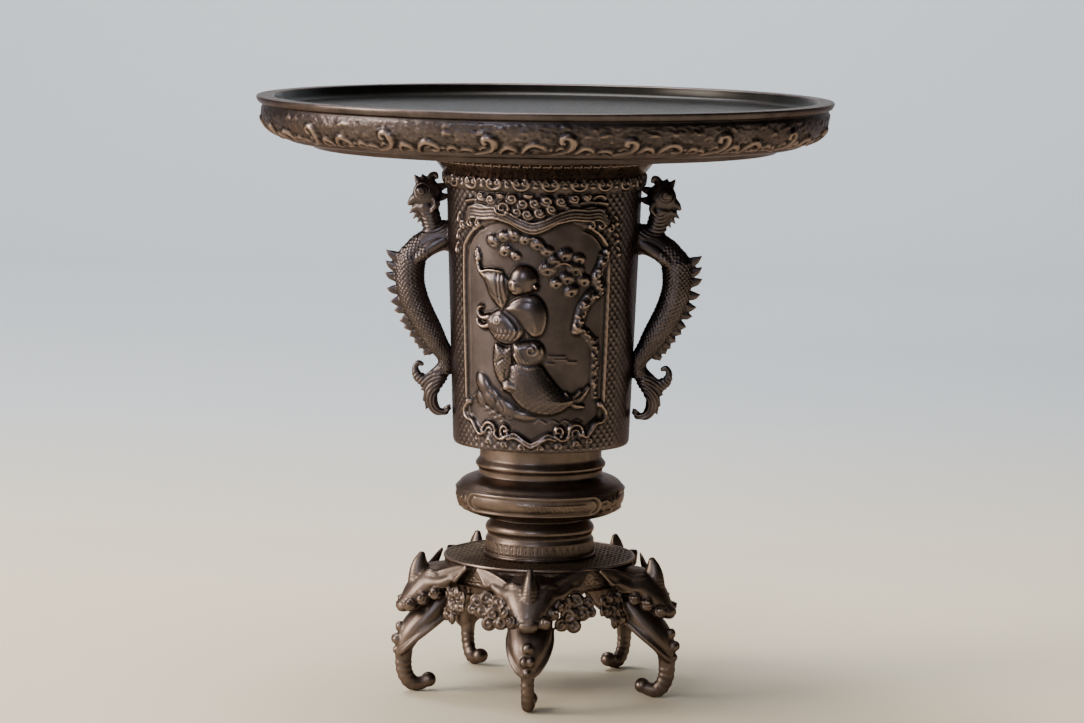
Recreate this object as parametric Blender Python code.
"""Bronze usubata vase: a wide tray on a tall relief cylinder, with two dragon-fish handles and five beast feet.

Millimetres in the named sizes, metres in Blender. +Z is up, and the vase stands on z = 0 with its axis on the
origin. The front, with the figure panel and one foot, looks along -Y.
"""

import math

import bmesh
import bpy
import numpy as np
from mathutils import Matrix, Vector

MM = 0.001

# Stack of castings, from the floor up
GAP = 0.3
PLATE_TOP = 73.1
STEM_HEIGHT = 61.8
BODY_HEIGHT = 155.5
DISH_HEIGHT = 30.5
STEM_BOTTOM = PLATE_TOP + GAP
BODY_BOTTOM = STEM_BOTTOM + STEM_HEIGHT + GAP
BODY_TOP = BODY_BOTTOM + BODY_HEIGHT
DISH_SEAT = BODY_TOP + GAP
RIM_TOP = DISH_SEAT + DISH_HEIGHT

# Dish
RIM_RADIUS = 155.0
RIM_LIP_WIDTH = 9.0
DISH_WELL_DEPTH = 6.2
DISH_FLOOR_FALL = 6.6
DISH_FLOOR_THICK = 4.5
DISH_RING_RADIUS = 124.5
DISH_RING_WIDTH = 8.5
DISH_BAND_SEGMENTS = 360
DISH_TRIANGLES = 2000
WAVE_COUNT = 20
WAVE_HEIGHT = 1.7
SPIGOT_LENGTH = 14.0
SPIGOT_WALL = 3.1
SPIGOT_CLEARANCE = 0.8

# Body
BODY_FOOT_RADIUS = 47.4
BODY_NECK_RADIUS = 52.3
BODY_WALL = 3.4
BODY_FLOOR_THICK = 4.0
COLLAR_RADIUS = 61.5
COLLAR_HEIGHT = 6.4
SCROLL_BAND_HEIGHT = 10.5
SCROLL_BAND_SWELL = 2.2
SCROLL_COUNT = 24
BODY_COLUMNS = 288
BODY_ROW = 1.25
BODY_TRIANGLES = 2800
PANEL_TURN = math.radians(-2.3)
PANEL_RADIUS = 50.0
PANEL_MIDDLE = 65.0

# Stem
NECK_RADIUS = 33.1
TORUS_RADIUS = 46.3
WAIST_RADIUS = 25.9
BEAD_RADIUS = 29.7
STEM_BASE_RADIUS = 29.4
STEM_STEPS = 28

# Foot
PLATE_RADIUS = 52.2
PLATE_RIM_RISE = 0.5
FRIEZE_HEIGHT = 13.0
PLATE_THICK = 6.5
APRON_WALL = 7.0
FOOT_STEPS = 32
FOOT_COUNT = 5
LEG_TRIANGLES = 350
LEG_VOXEL = 1.0
LEG_SOFTENING = 5

# Handles
HANDLE_HEIGHT = 132.0
HANDLE_TRIANGLES = 490
HANDLE_VOXEL = 0.75
HANDLE_SOFTENING = 2
HANDLE_HEIGHT_OVER_BODY_FOOT = 65.0


def bronze(name, colour, roughness):
    """A patinated bronze as a plain Principled material."""
    material = bpy.data.materials.new(name)
    material.use_nodes = True
    shader = material.node_tree.nodes["Principled BSDF"]
    shader.inputs["Base Color"].default_value = (*colour, 1.0)
    shader.inputs["Metallic"].default_value = 1.0
    shader.inputs["Roughness"].default_value = roughness
    return material


def put(name, mesh, material):
    """Link a mesh as the object of that name, shaded smooth with its edges kept."""
    piece = bpy.data.objects.new(name, mesh)
    bpy.context.scene.collection.objects.link(piece)
    mesh.materials.append(material)
    mesh.shade_smooth()
    mesh.set_sharp_from_angle(angle=math.radians(40))
    return piece


def hide_cutter(piece):
    """Keep a cutter or a guide out of the model."""
    piece.hide_render = True
    piece.display_type = "WIRE"


def thin_out(piece, triangles):
    """Decimate to about that many triangles, keeping most of them where the carving is."""
    piece.data.calc_loop_triangles()
    thin = piece.modifiers.new("Thin out", "DECIMATE")
    thin.ratio = min(1.0, triangles / len(piece.data.loop_triangles))
    return thin


def combine(piece, other, operation):
    """Boolean with another object, which stays as a hidden cutter."""
    cut = piece.modifiers.new(f"{operation.title()} {other.name}", "BOOLEAN")
    cut.operation = operation
    cut.object = other
    hide_cutter(other)


def lathe(rings, name):
    """Mesh of rings of points, all alike in number. A ring of radius nothing closes to a point."""
    bm = bmesh.new()
    rows = []
    for ring in rings:
        if np.ptp(ring[:, :2], axis=0).max() < 1e-6:
            rows.append([bm.verts.new(ring[0] * MM)])
        else:
            rows.append([bm.verts.new(point * MM) for point in ring])
    loop = len(rows[0]) > 1
    pairs = list(zip(rows, rows[1:])) + ([(rows[-1], rows[0])] if loop else [])
    for upper, lower in pairs:
        count = max(len(upper), len(lower))
        for i in range(count):
            j = (i + 1) % count
            corners = [upper[i % len(upper)], lower[i % len(lower)]]
            corners += [lower[j % len(lower)], upper[j % len(upper)]]
            bm.faces.new(list(dict.fromkeys(corners)))
    bmesh.ops.recalc_face_normals(bm, faces=bm.faces)
    mesh = bpy.data.meshes.new(name)
    bm.to_mesh(mesh)
    bm.free()
    return mesh


def ring_at(radius, height, angles):
    """Ring of points at those angles, which count from the front towards +X."""
    radius = np.broadcast_to(radius, angles.shape)
    level = np.full(angles.shape, height)
    return np.stack([radius * np.sin(angles), -radius * np.cos(angles), level], axis=1)


def turned(name, profile, steps, material):
    """Round piece from a profile at +X that runs down its outer side, spun by a Screw modifier."""
    bm = bmesh.new()
    verts = [bm.verts.new((radius * MM, 0.0, height * MM)) for radius, height in profile]
    for upper, lower in zip(verts, verts[1:]):
        bm.edges.new((upper, lower))
    mesh = bpy.data.meshes.new(name)
    bm.to_mesh(mesh)
    bm.free()
    piece = put(name, mesh, material)
    spin = piece.modifiers.new("Turn", "SCREW")
    spin.steps = steps
    spin.render_steps = steps
    spin.use_merge_vertices = True
    spin.merge_threshold = 0.00005
    return piece


# Relief, as heights over a surface unrolled to across and up, in millimetres


def ridge(across, up, points, width, height):
    """Rounded ridge along a line of points. Width is the half width, one value or one for each point."""
    widths = np.broadcast_to(width, len(points))
    relief = np.zeros(np.shape(across))
    for (x0, y0), (x1, y1), w0, w1 in zip(points, points[1:], widths, widths[1:]):
        length = max((x1 - x0) ** 2 + (y1 - y0) ** 2, 1e-9)
        along = np.clip(((across - x0) * (x1 - x0) + (up - y0) * (y1 - y0)) / length, 0.0, 1.0)
        away = np.hypot(across - x0 - along * (x1 - x0), up - y0 - along * (y1 - y0))
        half = w0 + along * (w1 - w0)
        relief = np.maximum(relief, height * np.sqrt(np.clip(1.0 - (away / half) ** 2, 0.0, 1.0)))
    return relief


def dome(across, up, centre, radii, height, turn=0.0):
    """Rounded lump on an ellipse, turned by an angle in degrees."""
    c, s = math.cos(math.radians(turn)), math.sin(math.radians(turn))
    x, y = across - centre[0], up - centre[1]
    inside = 1.0 - ((x * c + y * s) / radii[0]) ** 2 - ((y * c - x * s) / radii[1]) ** 2
    return height * np.sqrt(np.clip(inside, 0.0, 1.0))


def arc(centre, radius, start, end, count=8):
    """Points along an arc, with its angles in degrees from +across towards +up."""
    turns = np.radians(np.linspace(start, end, count))
    return [(centre[0] + radius * math.cos(t), centre[1] + radius * math.sin(t)) for t in turns]


def highest(*reliefs):
    """The upper surface of several reliefs."""
    return np.maximum.reduce(reliefs)


def wave_crests(across, up):
    """Band under the rim: breaking wave crests. Up runs from 0 at the band's foot to its height."""
    pitch = 2.0 * math.pi * RIM_RADIUS / WAVE_COUNT
    number = np.floor(across / pitch)
    x = across - (number + 0.5) * pitch
    y = up / np.where(number % 2 == 0, 1.0, 0.8)
    crest = [(-12.0, 1.5), (-7.0, 6.5), (-3.5, 11.0)] + arc((-5.6, 12.2), 2.7, -20, 190)
    return highest(
        ridge(x, y, crest, 1.9, WAVE_HEIGHT),
        ridge(x, y, arc((4.5, 3.2), 5.4, 165, 5), 1.8, WAVE_HEIGHT),
        dome(x, y, (7.6, 2.6), (2.2, 2.0), WAVE_HEIGHT),
        ridge(x, y, arc((16.0, 3.0), 3.4, 170, 0), 1.6, WAVE_HEIGHT * 0.85),
        ridge(x, y, arc((-16.8, 3.2), 3.2, 180, 20), 1.5, WAVE_HEIGHT * 0.8),
        dome(x, y, (21.5, 3.0), (1.9, 1.7), WAVE_HEIGHT * 0.9),
    )


def valance(across, up):
    """Wavy ribbon of the frame's top, with its end curls, and the cloud bunch that it carries."""
    mirror = np.abs(across)
    top = [(36.0, 59.5), (27.0, 61.2), (18.0, 61.4), (10.0, 58.6), (3.5, 55.6), (0.0, 55.0)]
    clouds = [(0.0, 69.0), (5.8, 70.0), (11.8, 71.2), (18.0, 72.6)]
    return highest(
        ridge(mirror, up, top, 2.5, 1.5),
        ridge(mirror, up, arc((33.0, 57.0), 2.2, 90, 330), 1.3, 1.5),
        ridge(mirror, up, arc((38.5, 56.5), 2.2, 80, 320), 1.3, 1.4),
        ridge(mirror, up, [(31.0, 53.5), (36.0, 51.0), (40.0, 46.0), (41.2, 39.0), (41.4, -38.5)], 1.5, 1.1),
        *[dome(mirror, up, spot, (3.0, 2.9), 2.3) for spot in [(0.0, 62.8), (5.4, 64.2), (10.8, 65.0)]],
        *[dome(mirror, up, spot, (3.3, 3.0), 2.6) for spot in clouds],
        *[dome(mirror, up, (47.0, level), (1.7, 2.0), 1.2) for level in (52.0, 46.0, 39.5)],
    )


def bottom_ribbon(across, up):
    """Wavy ribbon of the frame's foot, down to a point in the middle, with hooks and rings."""
    mirror = np.abs(across)
    line = [(41.0, -40.5), (43.0, -45.5), (40.0, -49.5), (34.5, -52.0), (31.5, -56.5), (26.0, -55.5)]
    line += [(20.5, -56.5), (14.5, -57.5), (9.0, -56.5), (4.0, -59.0), (0.0, -61.0)]
    return highest(
        ridge(mirror, up, line, 1.5, 1.5),
        ridge(mirror, up, arc((25.0, -53.6), 3.4, 10, 185), 1.3, 1.6),
        ridge(mirror, up, arc((15.5, -52.6), 2.4, -60, 210), 1.2, 1.5),
        dome(mirror, up, (41.4, -39.8), (2.0, 2.0), 1.7),
    )


def pine(across, up):
    """Pine over the figure: the trunk at the right and two bunches of foliage."""
    trunk = [(41.0, 41.0), (38.0, 34.0), (35.5, 28.5), (31.5, 18.0), (27.0, 12.0), (25.5, 5.0), (27.5, 0.0)]
    trunk += [(33.5, -5.0), (36.0, -14.0), (36.0, -30.0)]
    first = [(-22.2, 47.5), (-9.7, 51.0), (-14.3, 48.0), (-4.7, 47.8)]
    first += [(-14.9, 42.4), (-9.0, 39.6), (2.4, 46.3), (5.6, 43.2)]
    second = [(8.0, 33.6), (17.8, 40.3), (12.3, 37.0), (23.1, 33.0)]
    second += [(20.3, 28.5), (12.0, 26.0), (21.1, 22.4), (27.4, 27.2)]
    return highest(
        ridge(across, up, trunk, [2.4, 3.0, 4.0, 3.4, 2.6, 2.8, 3.2, 3.6, 3.0, 2.0], 2.0),
        *[dome(across, up, spot, (3.6, 3.2), 2.0) for spot in first],
        *[dome(across, up, spot, (4.0, 3.6), 2.2) for spot in second],
    )


def rocks_and_waves(across, up):
    """Rocks at the left foot of the panel and a wave at the right."""
    wave = [(21.0, -42.5), (26.0, -39.5), (30.0, -35.0), (31.5, -31.0)]
    return highest(
        dome(across, up, (-28.5, -29.5), (4.6, 3.2), 2.0, -40),
        dome(across, up, (-23.0, -33.5), (5.0, 3.4), 2.2, -35),
        dome(across, up, (-18.0, -39.0), (4.6, 3.2), 2.0, -30),
        dome(across, up, (-10.0, -42.3), (6.8, 2.8), 2.2, -10),
        dome(across, up, (-27.0, -42.0), (7.5, 4.2), 1.0, -10),
        ridge(across, up, wave, [2.2, 2.4, 1.8, 1.2], 1.6),
    )


def carp(across, up):
    """The carp held at the figure's breast, its scaled body and its tail at the lower right."""
    body = [(-18.0, 4.5), (-8.0, 1.0), (-4.5, -12.0), (0.0, -22.0), (7.0, -31.0), (15.0, -35.5), (22.0, -36.5)]
    return highest(
        ridge(across, up, body, [6.5, 9.5, 8.5, 9.5, 10.0, 7.5, 4.0], 3.0),
        ridge(across, up, [(-18.0, 5.5), (-26.5, 4.6)], [6.0, 4.2], 2.8),
        ridge(across, up, [(-26.0, 6.6), (-30.5, 9.2)], [2.0, 1.0], 2.6),
        ridge(across, up, [(-25.5, 3.0), (-30.0, 3.4)], [2.2, 1.2], 2.4),
        ridge(across, up, [(22.0, -36.0), (27.0, -32.5), (33.0, -31.0)], [3.2, 2.6, 1.2], 1.8),
        ridge(across, up, [(22.0, -37.0), (26.0, -41.0)], [3.2, 1.6], 1.8),
    )


def sage(across, up):
    """Robed figure with a smooth round head, one arm raised, the back and shoulder over the carp."""
    leg = [(-15.0, -6.0), (-19.0, -12.0), (-17.5, -22.0), (-14.0, -29.0)]
    return highest(
        dome(across, up, (-1.0, 9.5), (10.0, 13.0), 3.6, 20),
        ridge(across, up, [(-5.0, 14.0), (-18.0, 18.0), (-23.0, 25.0)], [7.0, 7.0, 5.0], 2.9),
        ridge(across, up, [(-24.0, 25.0), (-29.5, 30.0), (-32.0, 37.0)], [4.4, 2.0, 1.6], 2.0),
        dome(across, up, (-32.2, 38.2), (2.0, 2.6), 1.8),
        ridge(across, up, leg, [5.0, 5.5, 5.0, 3.5], 2.8),
        dome(across, up, (-12.5, -32.0), (4.6, 2.6), 2.8, 20),
        dome(across, up, (-5.1, 27.2), (7.6, 8.0), 4.4),
        dome(across, up, (-8.2, 24.4), (5.2, 5.0), 4.9, -10),
        dome(across, up, (-12.2, 24.2), (1.3, 1.6), 5.3),
    )


def body_relief(angles, height):
    """Relief on the body's wall at a height over its foot, for angles from the front."""
    turn = np.angle(np.exp(1j * (angles - PANEL_TURN)))
    behind = np.angle(np.exp(1j * (angles - PANEL_TURN - math.pi)))
    up = height - PANEL_MIDDLE
    relief = np.zeros(angles.shape)
    for across, figure in ((turn * PANEL_RADIUS, True), (behind * PANEL_RADIUS, False)):
        inside = np.abs(across) < PANEL_RADIUS * 1.1
        parts = [valance(across, up), bottom_ribbon(across, up)]
        if figure:
            parts += [pine(across, up), rocks_and_waves(across, up), carp(across, up), sage(across, up)]
        relief = np.maximum(relief, np.where(inside, highest(*parts), 0.0))
    return relief


def scroll_relief(angles, height):
    """Paired spirals all round the band under the collar, as a row of low bosses."""
    pitch = 2.0 * math.pi / SCROLL_COUNT
    across = (np.mod(angles - PANEL_TURN, pitch) - 0.5 * pitch) * BODY_NECK_RADIUS
    return dome(across, np.full(angles.shape, height), (0.0, 0.0), (5.4, SCROLL_BAND_HEIGHT * 0.45), 0.9)


def body_radius(height):
    """Outer radius of the plain wall at a height over the body's foot."""
    taper = (BODY_NECK_RADIUS - BODY_FOOT_RADIUS) / (BODY_HEIGHT - COLLAR_HEIGHT - SCROLL_BAND_HEIGHT)
    return BODY_FOOT_RADIUS + taper * height


def dish(material):
    """Tray with a moulded lip, the carved band, two steps below it, a ring foot and a spigot."""
    angles = np.linspace(0.0, 2.0 * math.pi, DISH_BAND_SEGMENTS, endpoint=False)
    across = angles * RIM_RADIUS
    mouth = BODY_NECK_RADIUS - BODY_WALL
    spigot = mouth - SPIGOT_CLEARANCE
    opening = spigot - SPIGOT_WALL
    seat = COLLAR_RADIUS - 1.5
    well = RIM_RADIUS - RIM_LIP_WIDTH
    floor_edge = RIM_TOP - DISH_WELL_DEPTH
    floor_low = floor_edge - DISH_FLOOR_FALL
    lip = [(-0.6, 0.0), (0.0, -0.6), (-0.4, -2.3), (-2.1, -5.2), (-3.0, -6.3)]
    rings = [ring_at(RIM_RADIUS + out, RIM_TOP + up, angles) for out, up in lip]
    band = [(-2.3, -7.2), (-1.8, -8.8), (-2.1, -10.8), (-3.0, -13.2)]
    band += [(-4.8, -15.6), (-7.4, -17.9), (-10.6, -19.8), (-14.2, -20.8)]
    lengths = [0.0]
    for (x0, y0), (x1, y1) in zip(band, band[1:]):
        lengths.append(lengths[-1] + math.hypot(x1 - x0, y1 - y0))
    rows = 16
    for row in range(rows + 1):
        way = lengths[-1] * row / rows
        out = np.interp(way, lengths, [point[0] for point in band])
        drop = np.interp(way, lengths, [point[1] for point in band])
        slope = math.atan2(max(way - 4.0, 0.0), 9.0)
        relief = wave_crests(across, np.full(angles.shape, lengths[-1] - way))
        relief = relief * min(1.0, row / 2.0, (rows - row) / 2.0)
        ring = ring_at(RIM_RADIUS + out + relief * math.cos(slope), 0.0, angles)
        ring[:, 2] = RIM_TOP + drop - relief * math.sin(slope)
        rings.append(ring)
    ring_foot = RIM_TOP - 27.3
    ring_inside = DISH_RING_RADIUS - DISH_RING_WIDTH
    step_radius = RIM_RADIUS - 15.6
    steps = [
        (step_radius, RIM_TOP - 21.6), (step_radius - 1.0, RIM_TOP - 23.2),
        (step_radius - 2.9, RIM_TOP - 23.9),
        (DISH_RING_RADIUS + 2.5, RIM_TOP - 24.4), (DISH_RING_RADIUS + 1.8, RIM_TOP - 25.2),
        (DISH_RING_RADIUS, ring_foot + 0.4), (DISH_RING_RADIUS - 1.0, ring_foot),
        (ring_inside, ring_foot), (ring_inside - 1.5, floor_low + 2.5 - DISH_FLOOR_THICK),
        (seat + 2.0, floor_low - DISH_FLOOR_THICK), (seat, floor_low - DISH_FLOOR_THICK - 1.5),
        (seat, DISH_SEAT), (spigot, DISH_SEAT),
        (spigot, DISH_SEAT - SPIGOT_LENGTH), (opening, DISH_SEAT - SPIGOT_LENGTH),
        (opening, floor_low - 0.6), (opening + 0.6, floor_low), (seat + 2.0, floor_low),
        (well - 8.0, floor_edge - 0.8), (well - 3.4, floor_edge), (well - 1.4, floor_edge + 1.5),
        (well - 0.6, RIM_TOP - 2.0), (well, RIM_TOP - 0.5), (well + 0.7, RIM_TOP),
    ]
    rings += [ring_at(radius, height, angles) for radius, height in steps]
    piece = put("dish", lathe(rings, "dish"), material)
    thin_out(piece, DISH_TRIANGLES)
    return piece


def body(material):
    """Hollow tapering cylinder, open above, with its floor, the flaring collar and the relief."""
    angles = np.linspace(0.0, 2.0 * math.pi, BODY_COLUMNS, endpoint=False)
    wall_top = BODY_HEIGHT - COLLAR_HEIGHT - SCROLL_BAND_HEIGHT
    rings = [ring_at(0.0, BODY_BOTTOM, angles), ring_at(BODY_FOOT_RADIUS, BODY_BOTTOM, angles)]
    for row in range(1, int(wall_top / BODY_ROW)):
        height = row * BODY_ROW
        relief = body_relief(angles, height) * min(1.0, row / 2.0)
        rings.append(ring_at(body_radius(height) + relief, BODY_BOTTOM + height, angles))
    rings.append(ring_at(body_radius(wall_top), BODY_BOTTOM + wall_top, angles))
    for row in range(9):
        share = row / 8.0
        swell = SCROLL_BAND_SWELL * math.sqrt(math.sin(math.pi * (0.08 + 0.84 * share)))
        height = SCROLL_BAND_HEIGHT * (share - 0.5)
        radius = BODY_NECK_RADIUS + swell + scroll_relief(angles, height)
        level = BODY_BOTTOM + wall_top + 0.5 + (SCROLL_BAND_HEIGHT - 1.0) * share
        rings.append(ring_at(radius, level, angles))
    collar_foot = BODY_TOP - COLLAR_HEIGHT
    mouth = BODY_NECK_RADIUS - BODY_WALL
    inside_foot = BODY_FOOT_RADIUS - BODY_WALL
    inner_floor = BODY_BOTTOM + BODY_FLOOR_THICK
    top = [
        (BODY_NECK_RADIUS + 1.4, collar_foot), (BODY_NECK_RADIUS + 3.2, collar_foot + 0.8),
        (COLLAR_RADIUS - 1.0, BODY_TOP - 1.6), (COLLAR_RADIUS, BODY_TOP - 1.0), (COLLAR_RADIUS, BODY_TOP),
        (mouth, BODY_TOP), (mouth, DISH_SEAT - SPIGOT_LENGTH - 3.0), (inside_foot, inner_floor + 1.5),
        (inside_foot - 1.5, inner_floor), (0.0, inner_floor),
    ]
    rings += [ring_at(radius, height, angles) for radius, height in top]
    piece = put("body", lathe(rings, "body"), material)
    thin_out(piece, BODY_TRIANGLES)
    return piece


def stem(material):
    """Neck with a bead, the large ring, the waist, a bead and the fret collar, in one turning."""
    top = STEM_BOTTOM + STEM_HEIGHT
    middle = STEM_BOTTOM + 33.5
    profile = [
        (0.0, top), (NECK_RADIUS, top), (NECK_RADIUS, top - 8.9), (NECK_RADIUS + 2.3, top - 11.0),
        (NECK_RADIUS + 2.3, top - 12.8), (NECK_RADIUS + 0.6, top - 14.6), (NECK_RADIUS + 0.9, middle + 10.4),
    ]
    ring = [(1.0, -9.3), (0.87, -4.2), (0.66, -1.9), (0.3, -0.2), (-0.1, -0.1), (-0.45, -1.3)]
    ring += [(-0.8, -4.6), (-1.1, -14.2)]
    profile += [(TORUS_RADIUS + out, middle + 10.0 * share) for share, out in ring]
    waist_top = middle - 11.6
    bead = waist_top - 6.9
    profile += [
        (WAIST_RADIUS, waist_top), (WAIST_RADIUS, waist_top - 1.4), (BEAD_RADIUS - 0.9, bead + 2.5),
        (BEAD_RADIUS, bead + 0.9), (BEAD_RADIUS, bead - 0.9), (STEM_BASE_RADIUS - 0.8, bead - 2.7),
        (STEM_BASE_RADIUS, STEM_BOTTOM + 2.0), (STEM_BASE_RADIUS + 0.8, STEM_BOTTOM + 1.2),
        (STEM_BASE_RADIUS + 0.8, STEM_BOTTOM), (0.0, STEM_BOTTOM),
    ]
    return turned("stem", profile, STEM_STEPS, material)


# Free forms, lofted and then skinned into one


def smooth_nodes(nodes, steps):
    """Nodes of a limb read from a smooth curve through them."""
    nodes = np.array(nodes, dtype=float)
    padded = np.vstack([2 * nodes[0] - nodes[1], nodes, 2 * nodes[-1] - nodes[-2]])
    found = []
    for i in range(1, len(padded) - 2):
        a, b, c, d = padded[i - 1 : i + 3]
        square = 2 * a - 5 * b + 4 * c - d
        cube = 3 * b - a - 3 * c + d
        for t in np.linspace(0.0, 1.0, steps, endpoint=False):
            found.append(0.5 * (2 * b + (c - a) * t + square * t**2 + cube * t**3))
    found.append(nodes[-1])
    return np.array(found)


def limb(bm, nodes, side=(0.0, 1.0, 0.0), steps=3, sides=12):
    """Closed tube with round ends. Nodes are (x, y, z, radius, width), width being the share along side."""
    found = smooth_nodes([tuple(node) + (1.0,) * (5 - len(node)) for node in nodes], steps)
    places = [Vector(node[:3]) for node in found]
    side = Vector(side).normalized()
    rings = []
    last = len(found) - 1
    for i, node in enumerate(found):
        along = (places[min(i + 1, last)] - places[max(i - 1, 0)]).normalized()
        normal = along.cross(side).normalized()
        across = normal.cross(along).normalized()
        radius = max(node[3], 0.15)
        ends = {0: ((-0.85, 0.5),), last: ((0.85, 0.5),)}.get(i, ())
        circles = [(0.0, 1.0)] + [(shift, size) for shift, size in ends]
        if i == 0:
            circles.reverse()
        for shift, size in circles:
            centre = places[i] + along * shift * radius
            ring = []
            for k in range(sides):
                turn = 2.0 * math.pi * k / sides
                spread = normal * math.cos(turn) + across * math.sin(turn) * node[4]
                ring.append(bm.verts.new((centre + spread * radius * size) * MM))
            rings.append(ring)
    faces = [bm.faces.new(rings[0]), bm.faces.new(rings[-1])]
    for one, two in zip(rings, rings[1:]):
        for k in range(sides):
            faces.append(bm.faces.new((one[k], two[k], two[(k + 1) % sides], one[(k + 1) % sides])))
    bmesh.ops.recalc_face_normals(bm, faces=faces)


def ball(bm, centre, radii, long_axis=None):
    """Ellipsoid. Its first radius lies along long_axis when one is given."""
    turn = Matrix.Identity(4)
    if long_axis is not None:
        turn = Vector(long_axis).to_track_quat("X", "Z").to_matrix().to_4x4()
    size = Matrix.Diagonal((*[radius * MM for radius in radii], 1.0))
    place = Matrix.Translation(Vector(centre) * MM)
    bmesh.ops.create_icosphere(bm, subdivisions=2, radius=1.0, matrix=place @ turn @ size)


def skinned(name, bm, voxel, softening, triangles, material):
    """Join overlapping closed forms into one skin, soften its joins and thin it out."""
    mesh = bpy.data.meshes.new(name)
    bm.to_mesh(mesh)
    bm.free()
    piece = put(name, mesh, material)
    skin = piece.modifiers.new("Skin", "REMESH")
    skin.mode = "VOXEL"
    skin.voxel_size = voxel * MM
    skin.use_smooth_shade = True
    soft = piece.modifiers.new("Soften", "SMOOTH")
    soft.factor = 0.5
    soft.iterations = softening
    bpy.context.view_layer.update()
    evaluated = piece.evaluated_get(bpy.context.evaluated_depsgraph_get())
    evaluated.data.calc_loop_triangles()
    thin = piece.modifiers.new("Thin out", "DECIMATE")
    thin.ratio = min(1.0, triangles / len(evaluated.data.loop_triangles))
    return piece


def beast_leg():
    """One beast-mask leg with its outward side along +X: horn, ears, muzzle, cuffed knee and curled trunk.

    The forms keep their proportions: they are drawn 73.1 units high up to the plate's top, and outward from
    the plate's edge.
    """
    bm = bmesh.new()
    plate = 73.1
    unit = PLATE_TOP / plate

    def at(nodes):
        """Places and radii by distance out from the plate's edge, aside and over the ground."""
        return [(PLATE_RADIUS + x * unit, y * unit, z * unit, r * unit, *more) for x, y, z, r, *more in nodes]

    def lump(out, aside, up, radii, long_axis=None):
        """Ellipsoid by the same distances."""
        place = (PLATE_RADIUS + out * unit, aside * unit, up * unit)
        ball(bm, place, [radius * unit for radius in radii], long_axis)

    skull = [(-3.0, -8.5, 7.0, 1.75), (7.0, -10.8, 7.6, 1.95), (14.4, -16.6, 7.0, 1.75), (20.4, -24.0, 5.3, 1.45)]
    limb(bm, at([(x, 0.0, plate + z, r, w) for x, z, r, w in skull]))
    horn = [(14.3, -12.0, 5.2, 0.8), (14.1, -5.6, 4.2, 0.78), (14.0, -1.1, 2.8, 0.8), (13.6, 2.2, 1.1, 1.0)]
    limb(bm, at([(x, 0.0, plate + z, r, w) for x, z, r, w in horn]))
    knee = [(0.0, -20.0, 9.0, 1.3), (9.5, -30.6, 8.0, 1.5), (18.3, -39.0, 6.8, 1.45)]
    knee += [(22.0, -46.0, 5.8, 1.25), (24.0, -51.6, 4.5, 1.0)]
    limb(bm, at([(x, 0.0, plate + z, r, w) for x, z, r, w in knee]))
    trunk = [(22.6, plate - 48.0, 5.0, 0.8), (22.8, 15.0, 4.8, 0.76), (21.2, 8.6, 4.5, 0.76)]
    trunk += [(17.8, 3.5, 4.4, 0.85), (13.4, 3.2, 4.4, 0.95), (10.6, 5.4, 4.6, 1.0)]
    limb(bm, at([(x, 0.0, z, r, w) for x, z, r, w in trunk]))
    lump(25.0, 0.0, plate - 37.6, (2.8, 2.8, 3.2))
    for hand in (-1, 1):
        lump(26.8, hand * 1.5, plate - 44.6, (2.9, 2.4, 3.0))
        for out, aside, down, size in ((8.4, 14.6, 17.6, 4.0), (15.0, 12.4, 20.8, 3.8), (21.0, 8.6, 24.6, 3.6)):
            lump(out, hand * aside, plate - down, (size, size, size))
        ear = (-11.5, hand * 16.5, 7.5)
        lump(4.2, hand * 21.5, plate - 6.4, (12.4, 2.5, 5.0), ear)
        edge = [(6.0, 12.0, 32.4, 1.7), (14.0, 11.0, 39.6, 1.8), (21.0, 7.0, 46.6, 1.8), (25.6, 0.6, 52.2, 1.6)]
        limb(bm, at([(x, hand * y, plate - z, r) for x, y, z, r in edge]))
        clouds = [(1.0, 17.6, 17.0, 4.2), (-1.0, 24.0, 16.2, 4.3), (-2.6, 28.4, 18.4, 3.4)]
        clouds += [(0.6, 20.4, 22.8, 4.4), (-1.4, 26.0, 23.0, 3.8), (0.8, 21.6, 28.6, 3.7)]
        for out, aside, down, size in clouds:
            lump(out, hand * aside, plate - down, (size, size, size))
    return bm


def foot(material):
    """Foot plate with its rim and frieze, and five beast-mask legs joined to it with flat spots below."""
    hollow = PLATE_RADIUS - APRON_WALL
    apron_foot = PLATE_TOP - FRIEZE_HEIGHT
    profile = [
        (0.0, PLATE_TOP), (PLATE_RADIUS - 1.4, PLATE_TOP), (PLATE_RADIUS - 1.0, PLATE_TOP + PLATE_RIM_RISE),
        (PLATE_RADIUS, PLATE_TOP + PLATE_RIM_RISE - 0.2), (PLATE_RADIUS, PLATE_TOP - 0.8),
        (PLATE_RADIUS - 0.8, PLATE_TOP - 1.4), (PLATE_RADIUS - 1.6, apron_foot + 1.0),
        (PLATE_RADIUS - 2.6, apron_foot), (hollow, apron_foot),
        (hollow - 1.0, PLATE_TOP - PLATE_THICK), (0.0, PLATE_TOP - PLATE_THICK),
    ]
    piece = turned("foot", profile, FOOT_STEPS, material)
    for number in range(FOOT_COUNT):
        name = f"leg_form_{number + 1}"
        leg = skinned(name, beast_leg(), LEG_VOXEL, LEG_SOFTENING, LEG_TRIANGLES, material)
        leg.rotation_euler.z = 2.0 * math.pi * number / FOOT_COUNT - math.pi / 2
        combine(piece, leg, "UNION")
    ground = bmesh.new()
    wide = 2.0 * RIM_RADIUS * MM
    bmesh.ops.create_cube(ground, size=wide, matrix=Matrix.Translation((0.0, 0.0, -wide / 2)))
    mesh = bpy.data.meshes.new("ground_cut")
    ground.to_mesh(mesh)
    ground.free()
    combine(piece, put("ground_cut", mesh, material), "DIFFERENCE")
    return piece


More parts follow.
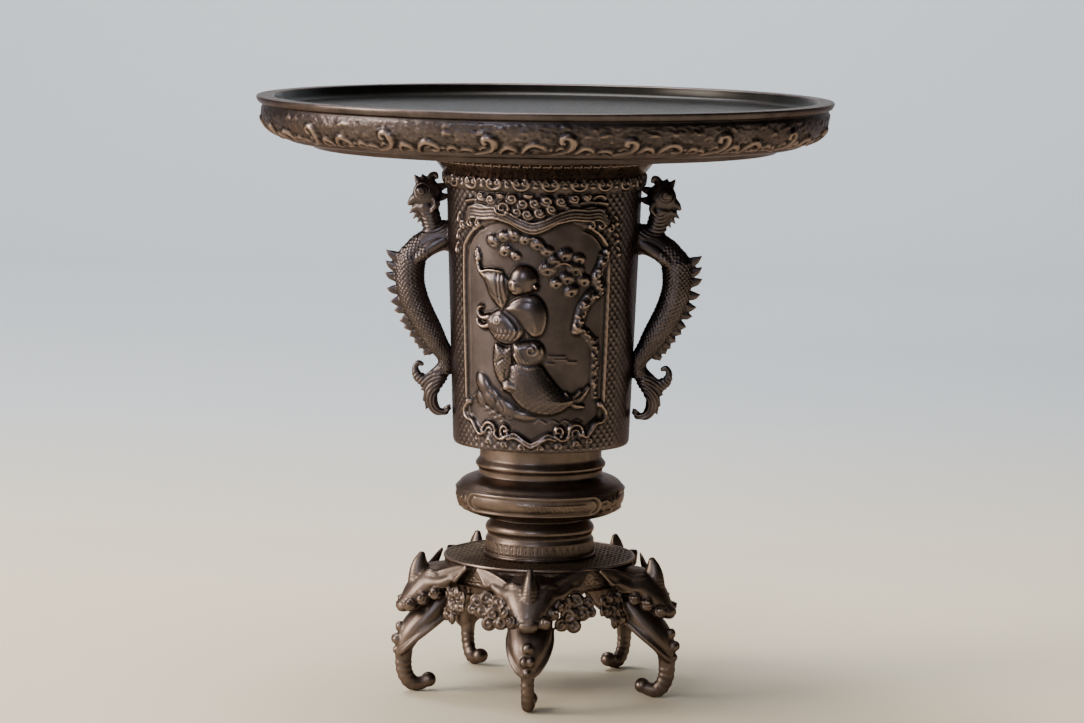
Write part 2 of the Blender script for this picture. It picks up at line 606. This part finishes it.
def dragon_fish(side):
    """Dragon-fish handle on one side: head on top, spined back, tail fin with two curls.

    The forms keep their proportions: they are drawn 132 units high, outward from the body's wall.
    """
    bm = bmesh.new()
    unit = HANDLE_HEIGHT / 132.0
    datum = BODY_BOTTOM + HANDLE_HEIGHT_OVER_BODY_FOOT
    wall = body_radius(HANDLE_HEIGHT_OVER_BODY_FOOT)

    def at(points):
        """Places and radii by distance out from the wall and height over the handle's datum."""
        found = []
        for out, up, radius, *more in points:
            found.append((side * (wall + out * unit), 0.0, datum + up * unit, radius * unit, *more))
        return found

    limb(bm, at([(-3, 46, 10.0, 0.75), (7, 45, 8.2, 0.8), (17, 39, 7.4, 0.85), (22, 33, 7.4, 0.9)]))
    spine = [(22.0, 33.0, 8.2), (22.6, 21.5, 8.0), (20.0, 11.0, 7.8), (15.6, 1.5, 7.4), (11.2, -6.0, 6.8)]
    spine += [(6.8, -13.5, 5.6), (2.6, -20.0, 4.6), (2.4, -26.5, 4.4)]
    limb(bm, at([(out, up, r, 0.85) for out, up, r in spine]))
    limb(bm, at([(9, 46, 6.5, 0.8), (11, 54, 5.4, 0.9), (13.5, 62, 6.6, 0.85)]))
    skull = at([(14.0, 68.5, 8.6)])[0]
    ball(bm, skull[:3], (skull[3], skull[3] * 0.72, skull[3]))
    limb(bm, at([(17.5, 66.5, 5.2, 0.9), (22.6, 64.0, 2.2, 0.9)]))
    limb(bm, at([(17.0, 61.5, 4.4, 0.9), (21.0, 60.0, 1.9, 0.9)]))
    limb(bm, at([(12.0, 75.0, 2.6), (10.6, 79.0, 1.7), (8.8, 78.2, 1.2)]))
    horns = [(19.0, 74.0, 19.8, 78.4), (7.0, 72.0, 2.4, 73.0), (6.4, 66.0, 1.6, 67.6), (7.6, 60.5, 3.6, 61.0)]
    horns += [(20.0, 58.5, 22.6, 56.5), (16.5, 56.5, 17.8, 53.5), (21.0, 70.0, 23.6, 71.5)]
    for out, up, tip_out, tip_up in horns:
        limb(bm, at([(out, up, 2.2, 0.8), (tip_out, tip_up, 0.7, 0.9)]))
    fins = 12
    line = smooth_nodes([(out, up, r) for out, up, r in spine[:6]], 6)
    for number in range(fins):
        share = number / (fins - 1)
        i = int(round(share * (len(line) - 1)))
        ahead, behind = line[min(i + 1, len(line) - 1)], line[max(i - 1, 0)]
        along = Vector((ahead[0] - behind[0], ahead[1] - behind[1])).normalized()
        outward = Vector((-along.y, along.x))
        root = Vector(line[i][:2]) + outward * line[i][2] * 0.7
        tip = Vector(line[i][:2]) + outward * (line[i][2] + 4.6 - 1.6 * share) - along * 2.6
        limb(bm, at([(root.x, root.y, 2.7, 0.6), (tip.x, tip.y, 0.8, 0.8)]))
    curl = [(2.5, -25, 4.4, 0.8), (7, -30, 4.9, 0.75), (13, -33.5, 4.6, 0.7)]
    curl += [(18.2, -30.6, 3.2, 0.7), (19.4, -26.0, 2.0, 0.8), (17.0, -23.6, 1.5, 0.8)]
    hook = [(8, -31, 5.4, 0.7), (10.8, -39, 4.6, 0.7), (10.4, -46, 3.6, 0.7)]
    hook += [(6.6, -50.4, 2.6, 0.8), (2.2, -50.0, 1.9, 0.8), (0.8, -47.6, 1.4, 0.9)]
    for fin in (curl, hook, [(12.0, -35, 4.0, 0.6), (15.2, -40.5, 1.6, 0.6)]):
        limb(bm, at(fin))
    limb(bm, at([(15.0, -2.0, 2.4), (17.6, -3.0, 2.4)]))
    return bm


def handle(name, side, material):
    """Handle cast apart, with its seat cut to the body's wall."""
    piece = skinned(name, dragon_fish(side), HANDLE_VOXEL, HANDLE_SOFTENING, HANDLE_TRIANGLES, material)
    bm = bmesh.new()
    over = 10.0
    low, high = BODY_BOTTOM - over, BODY_TOP + over
    place = Matrix.Translation((0.0, 0.0, (low + high) / 2 * MM))
    radii = [(body_radius(level - BODY_BOTTOM) + GAP) * MM for level in (low, high)]
    bmesh.ops.create_cone(
        bm, cap_ends=True, segments=96, radius1=radii[0], radius2=radii[1], depth=(high - low) * MM, matrix=place
    )
    mesh = bpy.data.meshes.new(f"{name}_seat")
    bm.to_mesh(mesh)
    bm.free()
    combine(piece, put(f"{name}_seat", mesh, material), "DIFFERENCE")
    return piece


def main():
    for old in list(bpy.data.objects):
        bpy.data.objects.remove(old)
    dish(bronze("dish_bronze", (0.060, 0.042, 0.034), 0.30))
    body(bronze("body_bronze", (0.090, 0.058, 0.042), 0.42))
    handle("handle_left", -1, bronze("handle_left_bronze", (0.085, 0.060, 0.044), 0.40))
    handle("handle_right", 1, bronze("handle_right_bronze", (0.085, 0.060, 0.044), 0.40))
    stem(bronze("stem_bronze", (0.080, 0.052, 0.040), 0.34))
    foot(bronze("foot_bronze", (0.075, 0.052, 0.042), 0.38))


if __name__ == "__main__":
    main()
